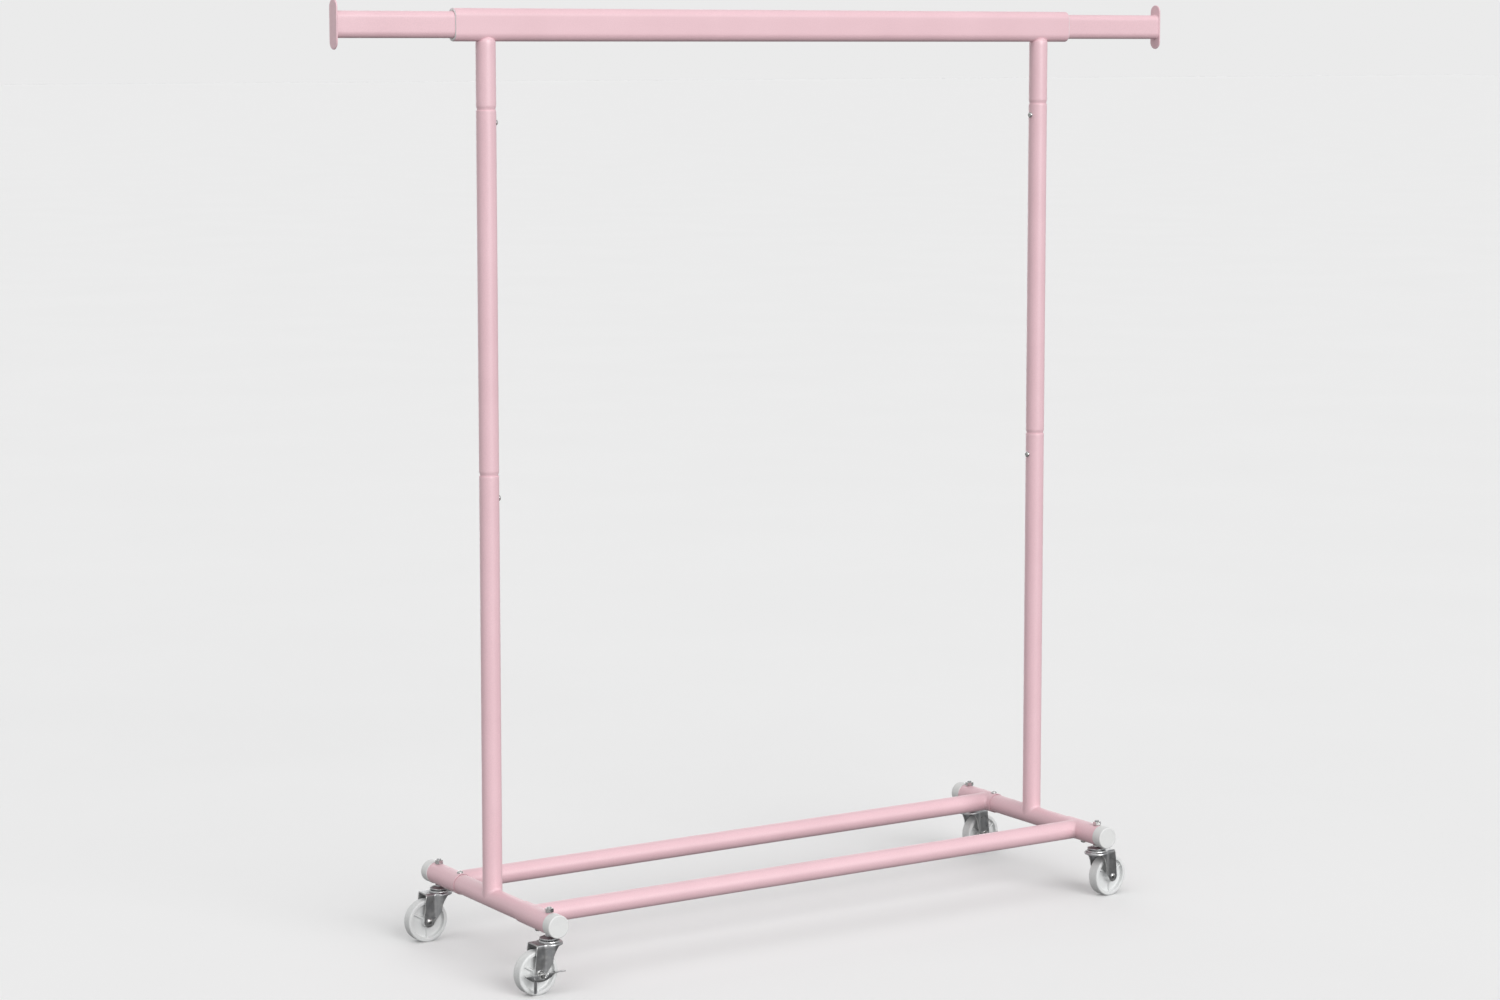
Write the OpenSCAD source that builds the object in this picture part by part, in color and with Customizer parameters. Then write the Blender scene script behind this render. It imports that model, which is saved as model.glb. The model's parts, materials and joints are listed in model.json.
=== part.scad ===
// Rolling clothes rack with pull-out rail ends, tubular frame and four swivel casters.
// Millimetres. X runs along the rail, Y from front to back, Z up from the floor.
// The origin is the centre of the footprint, on the floor.

/* [Rail] */
// Distance between the axes of the two uprights
upright_spacing = 1130; // [900:10:1300]
// Height of the top of the rail above the floor
rail_top = 1589.5; // [1400:0.5:1800]
// Height of the flat-oval rail sleeve
sleeve_h = 54; // [50:0.5:60]
// Width of the flat-oval rail sleeve
sleeve_w = 26; // [25:0.5:30]
// How far the rail sleeve runs on past each upright axis
sleeve_overhang = 60; // [40:1:90]
// Height of the flat-oval pull-out rod
rod_h = 43.5; // [40:0.5:45]
// Width of the flat-oval pull-out rod
rod_w = 21; // [18:0.5:21.5]
// Height of the end plates
plate_h = 80; // [70:1:100]
// Width of the end plates
plate_w = 26; // [24:0.5:32]
// Thickness of the end plates
plate_t = 2.5; // [2:0.1:4]
// How far each rod slides in from its fully pulled-out place
rod_travel = 205; // [100:1:206]

/* [Frame tubes] */
// Outside diameter of the uprights, the foot tubes and the base bars
tube_d = 33; // [32.4:0.1:33.2]
// Wall of every round tube
wall = 1.2; // [1:0.1:1.5]
// Height of the joint between rail stub and middle upright
upper_joint_z = 1424; // [1300:1:1450]
// Height of the joint between middle and lower upright
middle_joint_z = 824; // [600:1:1000]
// How deep a reduced tube end sits in the tube below it
spigot_len = 70; // [60:1:90]
// Height of the foot tube axis
foot_z = 113.5; // [112:0.5:114]
// Distance of each base bar axis from the middle plane
bar_y = 134; // [130:1:138]
// Outside diameter of the corner sleeves
corner_d = 36; // [35.8:0.1:36.4]
// Distance from the middle plane to the inner end of a corner sleeve
corner_start = 107; // [100:1:110]
// Distance from the middle plane to the outer end of a corner sleeve
corner_end = 222; // [216:1:222]

/* [Casters] */
// Distance of each caster stem from the middle plane
caster_y = 193; // [190:1:194]
// Wheel diameter
wheel_d = 73; // [70:0.5:74]
// Wheel width over the tread
wheel_w = 21; // [18:0.5:22]
// Distance the axle trails behind the stem
trail = 27; // [22:0.5:28]
// Stem thread diameter
stem_d = 8; // [8:0.5:10]
// Axle diameter
axle_d = 8; // [6:0.5:8]

/* [Hidden] */
$fn = 72;

// Colours
pink = [0.91, 0.75, 0.78];
white = [0.93, 0.93, 0.92];
nylon = [0.86, 0.87, 0.87];
zinc = [0.66, 0.67, 0.68];
bright = [0.80, 0.80, 0.79];

// Signs of the two sides: left and front are negative
LEFT = -1;
RIGHT = 1;
FRONT = -1;
BACK = 1;

// Rail
upright_x = upright_spacing / 2;
rail_z = rail_top - sleeve_h / 2;
rail_bottom = rail_top - sleeve_h;
sleeve_end = upright_x + sleeve_overhang;
rod_out = rod_travel + 8;
plate_x = sleeve_end + rod_out;
guide_len = 58;
bush_len = 25;
bush_lip = 1;
stop_gap = 1;
rod_end = sleeve_end - bush_len - stop_gap - guide_len;
slide_gap = 0.3;
weld_rise = 7.5;
weld_side = 0.8;
weld_plug = 2;

// Tubes
tube_r = tube_d / 2;
tube_bore = tube_d - 2 * wall;
spigot_gap = 0.1;
spigot_d = tube_bore - 2 * spigot_gap;
neck_len = 7;
corner_r = corner_d / 2;
corner_wall = 1.2;
corner_bore = corner_d - 2 * corner_wall;
foot_tube_end = 168;
bead_y = 151;
bead_depth = 0.35;
bead_w = 1.6;

// Screws
screw_d = 6;
screw_hole_d = 6.4;
head_d = 10.6;
head_h = 3.3;
socket_af = 4;
upper_screw_z = upper_joint_z - 20;
middle_screw_z = middle_joint_z - 38;
foot_screw_y = 155;
top_screw_y = 116;
insert_d = 10;
insert_len = 9;
screw_bite = 12;

// End caps
cap_start = 204;
cap_end = 225;
cap_d = 38;
cap_bore = corner_d + 0.1;
cap_round = 1.6;
cap_plug_d = corner_bore - 0.4;
cap_plug_start = 203;

// Caster, in its own frame: the stem is the Z axis and the wheel trails towards -X
axle_z = wheel_d / 2;
wheel_bore = axle_d + 0.12;
hub_d = 20;
hub_w = 24.8;
rim_inner_d = 60;
web_t = 7;
rib_t = 3;
rib_count = 3;
fork_gap = 26.4;
fork_t = 2.2;
fork_out = fork_gap / 2 + fork_t;
plate_z = 82.3;
plate_top = 84.5;
crown_r = 22;
race_r = 17.4;
ball_pitch_r = 12.5;
ball_r = 2;
groove_r = 2.1;
ball_z = 87.5;
ball_count = 16;
lower_race_top = 86.9;
head_z = 88.1;
head_top = 92.5;
head_r = 16.6;
shoulder_d = 13;
nut_af = 13;
nut_h = 6.8;
nut_seat_z = foot_z + corner_r;
stem_top = nut_seat_z + nut_h + 2.2;
rivet_d = 13;
rivet_z = 79.1;
pin_gap = 0.05;
leg_h = plate_top - axle_z;
leg_tail_top = 5.5;
leg_round_r = 10;
crown_lip = 5;
scoop_x = 58;
scoop_z = 16;
scoop_r = 37;
rivet_head_d = 10.5;
rivet_head_h = 2.4;
axle_in = fork_out + 1;

// Brake, on the outer side of the wheel
brake_y = 20;
pin_d = 2.6;
pin_len = 15;
eye_t = 4.6;
eye_w = 7;
ear_t = 1.6;
ear_x = 4.6;
lever_t = 1.6;
boat_x = -4;
boat_r = 38;
boat_drop = 11.3;
boat_half = 28.5;
boat_in = 17.6;
boat_out = 24;
tongue_end = 43.5;
tongue_w = 5;
tongue_z = 1.4;
bar_x = -14.6;
bar_w = 5.6;
bar_top = -2;
bar_drop = 29;
ear_drop = 10;

// How far each caster has swivelled, in degrees, from straight behind
yaw_front_left = 3;
yaw_front_right = 186.7;
yaw_back_left = 0;
yaw_back_right = 183;

// ---------- shared shapes ----------

module flat_oval(h, w) {
  square([w, h - w], center = true);
  for (s = [-1, 1]) translate([0, s * (h - w) / 2]) circle(d = w);
}

// A flat-oval bar along +X from x0 to x1, centred on the rail axis
module oval_bar(h, w, x0, x1) {
  translate([x0, 0, rail_z])
    rotate([90, 0, 90])
      linear_extrude(x1 - x0) flat_oval(h, w);
}

module oval_tube(h, w, t, x0, x1) {
  difference() {
    oval_bar(h, w, x0, x1);
    oval_bar(h - 2 * t, w - 2 * t, x0 - 1, x1 + 1);
  }
}

module on_side(side) {
  if (side > 0) children();
  else mirror([1, 0, 0]) children();
}

module at_depth(depth) {
  if (depth > 0) children();
  else mirror([0, 1, 0]) children();
}

module round_tube(d, t, z0, z1) {
  difference() {
    translate([0, 0, z0]) cylinder(d = d, h = z1 - z0);
    translate([0, 0, z0 - 1]) cylinder(d = d - 2 * t, h = z1 - z0 + 2);
  }
}

// Lays a shape drawn along Z down along Y
module along_y() {
  rotate([-90, 0, 0]) children();
}

// Lays a shape drawn along Z down along X
module along_x() {
  rotate([0, 90, 0]) children();
}

// Reduced tube end: full width above, a neck, then the spigot that goes in the next tube
module spigot_tube(z_joint, z_top) {
  outer = [
    [tube_r, z_top],
    [tube_r, z_joint + neck_len],
    [spigot_d / 2, z_joint + 1],
    [spigot_d / 2, z_joint - spigot_len],
    [spigot_d / 2 - wall, z_joint - spigot_len],
    [spigot_d / 2 - wall, z_joint + 1],
    [tube_r - wall, z_joint + neck_len],
    [tube_r - wall, z_top]
  ];
  rotate_extrude() polygon(outer);
}

// Button-head screw: the head stands on +X from x = 0, the shank runs towards -X
module button_screw(len) {
  difference() {
    union() {
      along_x() cylinder(d1 = head_d, d2 = head_d * 0.62, h = head_h);
      translate([-len, 0, 0]) along_x() cylinder(d = screw_d, h = len + 0.1);
    }
    translate([head_h - 1.8, 0, 0]) along_x() cylinder(d = socket_af / cos(30), h = 3, $fn = 6);
  }
}

// Thread insert inside a tube whose bore has radius r, on the +X side of the tube
module thread_insert(r) {
  difference() {
    intersection() {
      translate([r - insert_len, 0, 0]) along_x() cylinder(d = insert_d, h = insert_len + 2);
      cylinder(r = r - 0.05, h = 40, center = true);
    }
    along_x() cylinder(d = screw_d + 0.1, h = r + 2);
  }
}

// ---------- rail ----------

module rail_sleeve() {
  color(pink) oval_tube(sleeve_h, sleeve_w, wall, -sleeve_end, sleeve_end);
}

module rail_stub(side) {
  rise = weld_rise - weld_side;
  arch_r = (tube_r * tube_r + rise * rise) / (2 * rise);
  top = rail_bottom + weld_rise;
  color(pink)
    on_side(side)
      translate([upright_x, 0, 0])
        difference() {
          union() {
            spigot_tube(upper_joint_z, rail_bottom - weld_plug);
            intersection() {
              translate([0, 0, rail_bottom - weld_plug - 0.01]) cylinder(d = tube_d, h = 2 * arch_r);
              translate([0, -tube_d, top - arch_r]) along_y() cylinder(r = arch_r, h = 2 * tube_d);
            }
          }
          translate([-upright_x, 0, 0]) oval_bar(sleeve_h, sleeve_w, 1, sleeve_end + 1);
          screw_hole(upper_screw_z);
        }
}

// Clearance for the joint screw, on the side of an upright that faces the other upright
module screw_hole(z) {
  translate([-tube_d, 0, z]) along_x() cylinder(d = screw_hole_d, h = tube_d);
}

module rail_bush(side) {
  inner = sleeve_end - bush_len;
  color(white)
    on_side(side)
      difference() {
        union() {
          oval_bar(sleeve_h - 2 * wall - 0.1, sleeve_w - 2 * wall - 0.1, inner, sleeve_end + 0.5);
          oval_bar(sleeve_h - 0.8, sleeve_w - 0.8, sleeve_end + 0.02, sleeve_end + bush_lip);
        }
        oval_bar(rod_h + 2 * slide_gap, rod_w + 2 * slide_gap, inner - 1, sleeve_end + bush_lip + 1);
      }
}

module rail_rod(side) {
  color(pink) on_side(side) oval_tube(rod_h, rod_w, wall, rod_end, plate_x - plate_t);
}

module end_plate(side) {
  color(pink) on_side(side) oval_bar(plate_h, plate_w, plate_x - plate_t, plate_x);
}

module rod_guide(side) {
  color(white)
    on_side(side)
      difference() {
        oval_bar(
          sleeve_h - 2 * wall - 2 * slide_gap,
          sleeve_w - 2 * wall - 2 * slide_gap,
          rod_end,
          rod_end + guide_len
        );
        oval_bar(rod_h + 0.1, rod_w + 0.1, rod_end - 1, rod_end + guide_len + 1);
      }
}

// ---------- uprights ----------

module upright_mid(side) {
  color(pink)
    on_side(side)
      translate([upright_x, 0, 0])
        difference() {
          union() {
            round_tube(tube_d, wall, middle_joint_z + neck_len, upper_joint_z);
            spigot_tube(middle_joint_z, middle_joint_z + neck_len + 0.01);
          }
          screw_hole(upper_screw_z);
          screw_hole(middle_screw_z);
        }
}

module upright_lower(side) {
  color(pink)
    on_side(side)
      translate([upright_x, 0, 0])
        difference() {
          round_tube(tube_d, wall, foot_z, middle_joint_z);
          translate([0, -tube_d, foot_z]) along_y() cylinder(d = tube_d, h = 2 * tube_d);
          screw_hole(middle_screw_z);
        }
}

// Every upright joint: both uprights, at both screw heights, facing each other
module each_upright_screw() {
  for (side = [LEFT, RIGHT], z = [upper_screw_z, middle_screw_z])
    on_side(side) translate([upright_x, 0, z]) rotate([0, 0, 180]) children();
}

module upright_screws() {
  color(bright) each_upright_screw() translate([tube_r, 0, 0]) button_screw(screw_bite);
}

module upright_thread_inserts() {
  color(bright) each_upright_screw() thread_insert(spigot_d / 2 - wall);
}

// ---------- base ----------

module foot_tube(side) {
  color(pink)
    translate([side * upright_x, 0, foot_z])
      difference() {
        along_y() round_tube(tube_d, wall, -foot_tube_end, foot_tube_end);
        for (y = [-foot_screw_y, foot_screw_y])
          translate([0, y, -tube_d]) cylinder(d = screw_hole_d, h = tube_d);
        translate([0, top_screw_y, 0]) cylinder(d = screw_hole_d, h = tube_d);
      }
}

module base_bar(depth) {
  color(pink)
    translate([0, depth * bar_y, foot_z])
      difference() {
        along_x() round_tube(tube_d, wall, -upright_x, upright_x);
        for (side = [LEFT, RIGHT])
          translate([side * upright_x, -tube_d, 0]) along_y() cylinder(d = corner_d, h = 2 * tube_d);
      }
}

module corner_sleeve(side, depth) {
  color(pink)
    translate([side * upright_x, 0, foot_z])
      at_depth(depth)
        difference() {
          along_y() round_tube(corner_d, corner_wall, corner_start, corner_end);
          translate([0, bead_y - bead_w / 2, 0])
            along_y() round_tube(corner_d + 2, 1 + bead_depth, 0, bead_w);
          translate([0, caster_y, -corner_d]) cylinder(d = stem_d + 0.4, h = 2 * corner_d);
          translate([0, foot_screw_y, -corner_d]) cylinder(d = screw_hole_d, h = corner_d);
          if (depth > 0) translate([0, top_screw_y, 0]) cylinder(d = screw_hole_d, h = corner_d);
        }
}

module end_cap(side, depth) {
  cup = [
    [cap_bore / 2, cap_start],
    [cap_d / 2 - 0.4, cap_start],
    [cap_d / 2, cap_start + 0.4],
    [cap_d / 2, cap_end - cap_round],
    [cap_d / 2 - cap_round * 0.29, cap_end - cap_round * 0.29],
    [cap_d / 2 - cap_round, cap_end],
    [0, cap_end],
    [0, corner_end + 0.4],
    [cap_bore / 2, corner_end + 0.4]
  ];
  plug = [
    [cap_plug_d / 2 - 1.6, cap_plug_start],
    [cap_plug_d / 2 - 0.4, cap_plug_start],
    [cap_plug_d / 2, cap_plug_start + 1],
    [cap_plug_d / 2, corner_end + 0.5],
    [cap_plug_d / 2 - 1.6, corner_end + 0.5]
  ];
  color(white)
    translate([side * upright_x, 0, foot_z])
      at_depth(depth)
        along_y() {
          rotate_extrude() polygon(cup);
          rotate_extrude() polygon(plug);
        }
}

// Screws that hold each foot tube in its corner sleeves: one below at each corner,
// and one on top at each back corner
module each_foot_screw() {
  for (side = [LEFT, RIGHT]) translate([side * upright_x, 0, foot_z]) {
    for (y = [-foot_screw_y, foot_screw_y]) translate([0, y, 0]) rotate([0, 90, 0]) children();
    translate([0, top_screw_y, 0]) rotate([0, -90, 0]) children();
  }
}

module foot_screws() {
  color(bright) each_foot_screw() translate([corner_r, 0, 0]) button_screw(screw_bite);
}

module foot_thread_inserts() {
  color(bright)
    each_foot_screw()
      rotate([90, 0, 0]) thread_insert(tube_bore / 2);
}

// ---------- casters ----------

// Puts a caster drawn in its own frame at a corner, turned by its swivel angle
module at_caster(side, depth, yaw) {
  translate([side * upright_x, depth * caster_y, 0]) rotate([0, 0, yaw]) children();
}

module caster_nuts() {
  color(bright)
    for (side = [LEFT, RIGHT], depth = [FRONT, BACK])
      translate([side * upright_x, depth * caster_y, nut_seat_z])
        difference() {
          intersection() {
            cylinder(d = nut_af / cos(30), h = nut_h, $fn = 6);
            cylinder(d1 = nut_af + 8, d2 = nut_af, h = nut_h);
          }
          translate([0, 0, -1]) cylinder(d = stem_d + 0.1, h = nut_h + 2);
        }
}

module ball_groove() {
  translate([0, 0, ball_z]) rotate_extrude() translate([ball_pitch_r, 0]) circle(r = groove_r);
}

// Threaded stem with its shoulder, the upper ball race and the riveted lower end
module caster_stem(side, depth) {
  color(zinc)
    translate([side * upright_x, depth * caster_y, 0])
      difference() {
        union() {
          translate([0, 0, rivet_z + 1]) cylinder(d = stem_d, h = stem_top - rivet_z - 1);
          translate([0, 0, rivet_z]) cylinder(d1 = rivet_d - 3, d2 = rivet_d, h = 2.4);
          translate([0, 0, head_top - 0.01]) cylinder(d = shoulder_d, h = foot_z - corner_r - head_top);
          translate([0, 0, head_z]) cylinder(r = head_r, h = 1.9);
          translate([0, 0, head_z + 1.89])
            cylinder(r1 = head_r, r2 = head_r - 7, h = head_top - head_z - 1.89);
        }
        ball_groove();
      }
}

module swivel_balls(side, depth) {
  color(bright)
    translate([side * upright_x, depth * caster_y, ball_z])
      for (i = [0 : ball_count - 1])
        rotate([0, 0, i * 360 / ball_count]) translate([ball_pitch_r, 0, 0]) sphere(r = ball_r);
}

// Side outline of the fork: sloping tail, rounded end at the axle, scooped leading edge, lip in front
module fork_outline() {
  nose = trail + crown_r;
  translate([-trail, axle_z]) {
    circle(r = leg_round_r);
    difference() {
      polygon([
        [-leg_round_r * 0.98, 0],
        [-leg_tail_top, leg_h],
        [nose, leg_h],
        [nose, leg_h - crown_lip],
        [22.5, 24],
        [21, 17],
        [13.5, 3.3],
        [8.9, -4],
        [0, -1]
      ]);
      translate([scoop_x, scoop_z]) circle(r = scoop_r);
    }
    translate([trail, leg_h - crown_lip]) square([crown_r, crown_lip]);
  }
}

// The fork seen from above: a straight channel over the wheel that widens into a round crown
module fork_plan(half_width, r, tail) {
  translate([tail, -half_width]) square([-tail, 2 * half_width]);
  circle(r = r);
}

module caster_fork(side, depth, yaw) {
  color(zinc)
    at_caster(side, depth, yaw)
      difference() {
        union() {
          intersection() {
            difference() {
              linear_extrude(plate_top) fork_plan(fork_out, crown_r, -2 * trail);
              translate([0, 0, -1])
                linear_extrude(plate_z + 1) fork_plan(fork_gap / 2, crown_r - fork_t, -3 * trail);
            }
            translate([0, 2 * crown_r, 0]) rotate([90, 0, 0]) linear_extrude(4 * crown_r) fork_outline();
          }
          translate([0, 0, plate_top - 0.01]) cylinder(r = race_r, h = lower_race_top - plate_top);
        }
        translate([0, 0, plate_z - 1]) cylinder(d = stem_d + 2 * pin_gap, h = 10);
        translate([-trail, -30, axle_z]) along_y() cylinder(d = axle_d + 2 * pin_gap, h = 60);
        ball_groove();
      }
}

// Riveted axle; on a braked caster the brake side ends in a flat eye for the brake pin
module axle(side, depth, yaw, brake_side) {
  color(bright)
    at_caster(side, depth, yaw)
      translate([-trail, 0, axle_z]) {
        difference() {
          union() {
            translate([0, -axle_in, 0]) along_y() cylinder(d = axle_d, h = 2 * axle_in);
            for (s = [-1, 1])
              if (s != brake_side)
                at_depth(s)
                  translate([0, fork_out + 0.05, 0])
                    along_y() cylinder(d1 = rivet_head_d, d2 = rivet_head_d - 5, h = rivet_head_h);
            if (brake_side != 0)
              at_depth(brake_side)
                translate([-eye_t / 2, fork_out - 2, -eye_w / 2])
                  cube([eye_t, brake_y + 3 - fork_out + 2, eye_w]);
          }
          if (brake_side != 0)
            translate([-20, brake_side * brake_y, 0])
              along_x() cylinder(d = pin_d + 2 * pin_gap, h = 40);
        }
      }
}

module wheel(side, depth, yaw) {
  tread = [
    [rim_inner_d / 2, -wheel_w / 2],
    [axle_z - 2.2, -wheel_w / 2],
    [axle_z - 0.6, -wheel_w / 2 + 0.7],
    [axle_z, -wheel_w / 2 + 2.2],
    [axle_z, wheel_w / 2 - 2.2],
    [axle_z - 0.6, wheel_w / 2 - 0.7],
    [axle_z - 2.2, wheel_w / 2],
    [rim_inner_d / 2, wheel_w / 2]
  ];
  color(nylon)
    at_caster(side, depth, yaw)
      translate([-trail, 0, axle_z])
        along_y()
          difference() {
            union() {
              rotate_extrude() polygon(tread);
              cylinder(d = rim_inner_d + 1, h = web_t, center = true);
              cylinder(d = hub_d, h = hub_w, center = true);
              for (i = [0 : rib_count - 1])
                rotate([0, 0, 90 + i * 360 / rib_count])
                  translate([hub_d / 2 - 1, -rib_t / 2, -wheel_w / 2 + 2.5])
                    cube([(rim_inner_d - hub_d) / 2 + 2, rib_t, wheel_w - 5]);
            }
            cylinder(d = wheel_bore, h = 60, center = true);
          }
}

// Side brake lever, drawn on the +Y side of the wheel. The origin is the centre of the wheel, and
// the lever turns on a pin along X at Y = brake_y. It has a curved tray, an outer wall scooped out
// round the axle, two ears for the pin, a tongue and a hanging bar.
module tray_limits() {
  translate([boat_x - boat_half, boat_in - 1, -20]) cube([2 * boat_half, 20, 22]);
}

module lever_shape() {
  tray_z = boat_r - boat_drop;
  tray_end = boat_x + boat_half;
  difference() {
    union() {
      intersection() {
        translate([boat_x, boat_in, tray_z])
          along_y() round_tube(2 * boat_r, lever_t, 0, boat_out - boat_in);
        tray_limits();
      }
      difference() {
        intersection() {
          translate([boat_x, boat_out - lever_t, tray_z]) along_y() cylinder(r = boat_r, h = lever_t);
          tray_limits();
        }
        translate([0, boat_in, 6]) along_y() cylinder(r = 14.5, h = 20);
      }
      translate([tray_end - 4, boat_in + 0.8, tongue_z - lever_t])
        cube([tongue_end - tray_end + 4, tongue_w, lever_t]);
      translate([bar_x - bar_w / 2, boat_out - lever_t, -bar_drop])
        cube([bar_w, lever_t, bar_drop + bar_top]);
      for (s = [-1, 1]) {
        translate([s * ear_x - ear_t / 2, boat_in, -ear_drop])
          cube([ear_t, boat_out - boat_in, ear_drop - 2.8]);
        translate([s * ear_x - ear_t / 2, brake_y - 2.4, -3]) cube([ear_t, 4.8, 3]);
        translate([s * ear_x - ear_t / 2, brake_y, 0]) along_x() cylinder(r = 2.4, h = ear_t);
      }
    }
    translate([-10, brake_y, 0]) along_x() cylinder(d = pin_d + 2 * pin_gap, h = 20);
  }
}

// The tongue points towards +X of the rack on both braked casters
module brake_lever(side, depth, yaw, brake_side) {
  color(zinc)
    at_caster(side, depth, yaw)
      translate([-trail, 0, axle_z])
        mirror([brake_side > 0 ? 1 : 0, 0, 0])
          at_depth(brake_side) lever_shape();
}

module brake_pin(side, depth, yaw, brake_side) {
  color(bright)
    at_caster(side, depth, yaw)
      translate([-trail - pin_len / 2, brake_side * brake_y, axle_z])
        along_x() cylinder(d = pin_d, h = pin_len);
}

// ---------- the assembly ----------

rail_sleeve();
rail_stub(LEFT);  // rail_stub_left
rail_stub(RIGHT);  // rail_stub_right
upright_mid(LEFT);  // upright_mid_left
upright_mid(RIGHT);  // upright_mid_right
upright_lower(LEFT);  // upright_lower_left
upright_lower(RIGHT);  // upright_lower_right
foot_tube(LEFT);  // foot_tube_left
foot_tube(RIGHT);  // foot_tube_right
base_bar(FRONT);  // base_bar_front
base_bar(BACK);  // base_bar_back
corner_sleeve(LEFT, FRONT);  // corner_sleeve_front_left
corner_sleeve(RIGHT, FRONT);  // corner_sleeve_front_right
corner_sleeve(LEFT, BACK);  // corner_sleeve_back_left
corner_sleeve(RIGHT, BACK);  // corner_sleeve_back_right
end_cap(LEFT, FRONT);  // end_cap_front_left
end_cap(RIGHT, FRONT);  // end_cap_front_right
end_cap(LEFT, BACK);  // end_cap_back_left
end_cap(RIGHT, BACK);  // end_cap_back_right
upright_screws();
upright_thread_inserts();
foot_screws();
foot_thread_inserts();
caster_nuts();
rail_bush(LEFT);  // rail_bush_left
rail_bush(RIGHT);  // rail_bush_right
rail_rod(LEFT);  // rail_rod_left
rail_rod(RIGHT);  // rail_rod_right
end_plate(LEFT);  // end_plate_left
end_plate(RIGHT);  // end_plate_right
rod_guide(LEFT);  // rod_guide_left
rod_guide(RIGHT);  // rod_guide_right
caster_stem(LEFT, FRONT);  // caster_stem_front_left
caster_stem(RIGHT, FRONT);  // caster_stem_front_right
caster_stem(LEFT, BACK);  // caster_stem_back_left
caster_stem(RIGHT, BACK);  // caster_stem_back_right
caster_fork(LEFT, FRONT, yaw_front_left);  // caster_fork_front_left
caster_fork(RIGHT, FRONT, yaw_front_right);  // caster_fork_front_right
caster_fork(LEFT, BACK, yaw_back_left);  // caster_fork_back_left
caster_fork(RIGHT, BACK, yaw_back_right);  // caster_fork_back_right
swivel_balls(LEFT, FRONT);  // swivel_balls_front_left
swivel_balls(RIGHT, FRONT);  // swivel_balls_front_right
swivel_balls(LEFT, BACK);  // swivel_balls_back_left
swivel_balls(RIGHT, BACK);  // swivel_balls_back_right
axle(LEFT, FRONT, yaw_front_left, -1);  // axle_front_left
axle(RIGHT, FRONT, yaw_front_right, 0);  // axle_front_right
axle(LEFT, BACK, yaw_back_left, 0);  // axle_back_left
axle(RIGHT, BACK, yaw_back_right, 1);  // axle_back_right
wheel(LEFT, FRONT, yaw_front_left);  // wheel_front_left
wheel(RIGHT, FRONT, yaw_front_right);  // wheel_front_right
wheel(LEFT, BACK, yaw_back_left);  // wheel_back_left
wheel(RIGHT, BACK, yaw_back_right);  // wheel_back_right
brake_lever(LEFT, FRONT, yaw_front_left, -1);  // brake_lever_front_left
brake_lever(RIGHT, BACK, yaw_back_right, 1);  // brake_lever_back_right
brake_pin(LEFT, FRONT, yaw_front_left, -1);  // brake_pin_front_left
brake_pin(RIGHT, BACK, yaw_back_right, 1);  // brake_pin_back_right
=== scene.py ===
import json
import math

import bmesh
import bpy
from mathutils import Matrix, Vector

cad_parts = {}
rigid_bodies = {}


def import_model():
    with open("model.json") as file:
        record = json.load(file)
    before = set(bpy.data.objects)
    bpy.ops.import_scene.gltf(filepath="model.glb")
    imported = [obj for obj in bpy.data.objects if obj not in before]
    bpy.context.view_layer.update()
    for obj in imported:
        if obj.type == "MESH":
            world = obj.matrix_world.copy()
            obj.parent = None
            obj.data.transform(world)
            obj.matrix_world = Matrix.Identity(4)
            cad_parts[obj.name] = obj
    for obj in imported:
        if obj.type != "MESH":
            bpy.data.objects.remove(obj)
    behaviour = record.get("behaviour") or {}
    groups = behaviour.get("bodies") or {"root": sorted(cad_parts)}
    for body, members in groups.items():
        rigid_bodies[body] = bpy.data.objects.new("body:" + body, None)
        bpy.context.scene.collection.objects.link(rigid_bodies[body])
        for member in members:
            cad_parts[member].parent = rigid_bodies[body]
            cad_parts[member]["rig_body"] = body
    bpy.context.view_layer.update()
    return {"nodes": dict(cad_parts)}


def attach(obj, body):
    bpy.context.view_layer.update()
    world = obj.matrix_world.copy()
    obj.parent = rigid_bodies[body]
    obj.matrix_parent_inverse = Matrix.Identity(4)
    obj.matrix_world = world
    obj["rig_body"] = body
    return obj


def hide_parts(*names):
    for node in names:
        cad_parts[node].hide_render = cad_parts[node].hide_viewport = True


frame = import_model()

# Sizes below are in millimetres, as in the CAD model; pieces are scaled to metres when they are made.
MM = 0.001
MICRON = 0.001 * MM

# Rail
UPRIGHT_X = 565.0
RAIL_TOP = 1589.5
SLEEVE_H, SLEEVE_W = 54.0, 26.0
RAIL_Z = RAIL_TOP - SLEEVE_H / 2
RAIL_BOTTOM = RAIL_TOP - SLEEVE_H
SLEEVE_END = 625.0
ROD_H, ROD_W = 43.5, 21.0
PLATE_H, PLATE_W, PLATE_T = 80.0, 26.0, 2.5
PLATE_X = 838.0
ROD_START = 541.0
BUSH_LEN, BUSH_LIP = 25.0, 1.0
SLIDE_GAP = 0.3

# Tubes
WALL = 1.2
TUBE_R = 16.5
SPIGOT_R = 15.2
SPIGOT_LEN = 70.0
NECK_LEN = 7.0
UPPER_JOINT_Z, MIDDLE_JOINT_Z = 1424.0, 824.0
UPPER_SCREW_Z, MIDDLE_SCREW_Z = 1404.0, 786.0
FOOT_Z = 113.5
FOOT_TUBE_END = 168.0
BAR_Y = 134.0
CORNER_R = 18.0
CORNER_START, CORNER_END = 107.0, 222.0
BEAD_Y = 151.0
FOOT_SCREW_Y, TOP_SCREW_Y = 155.0, 116.0
WELD_LEG = 2.8

# Casters, each in its own frame: the stem is the Z axis and the wheel trails towards -X
CASTER_Y = 193.0
TRAIL = 27.0
WHEEL_R, WHEEL_W = 36.5, 21.0
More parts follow.
